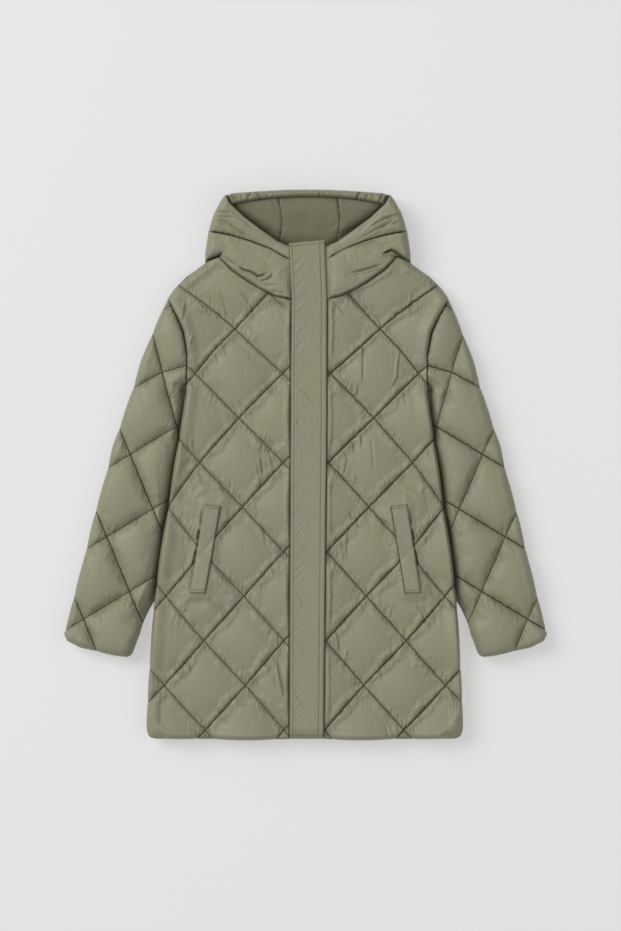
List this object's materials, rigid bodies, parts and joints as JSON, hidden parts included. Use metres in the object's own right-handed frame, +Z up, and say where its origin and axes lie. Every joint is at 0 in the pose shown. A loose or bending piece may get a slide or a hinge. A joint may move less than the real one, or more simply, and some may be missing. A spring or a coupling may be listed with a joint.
{
  "type": "puffer coat",
  "caption": "Hip-length hooded puffer coat laid flat on its back, quilted in diamonds, with a storm flap over its closing and slanted welt pockets.",
  "frame": {"origin": "centre of the coat's overall box in plan, on the surface it lies on", "axes": "+Z up from the surface the coat lies on, +Y along its length from hem to hood, +X across it towards the wearer's left sleeve"},
  "size_m": [0.8484, 0.966, 0.0623],
  "materials": {
    "shell": "satin",
    "shell_inside": "satin",
    "trim": "satin",
    "zip": "matte"
  },
  "bodies": {
    "root": {"back": "shell", "front_right": "shell", "front_left": "shell", "sleeve_right": "shell", "sleeve_left": "shell", "hood_side_right": "shell", "hood_side_left": "shell", "hood_side_right_inner": "shell_inside", "hood_side_left_inner": "shell_inside", "hood_centre": "shell_inside", "hood_band_right": "trim", "hood_band_left": "trim", "hood_brim": "trim", "hood_fold": "shell", "placket": "trim", "front_zip": "zip", "pocket_welt_right": "trim", "pocket_welt_left": "trim"}
  },
  "joints": []
}
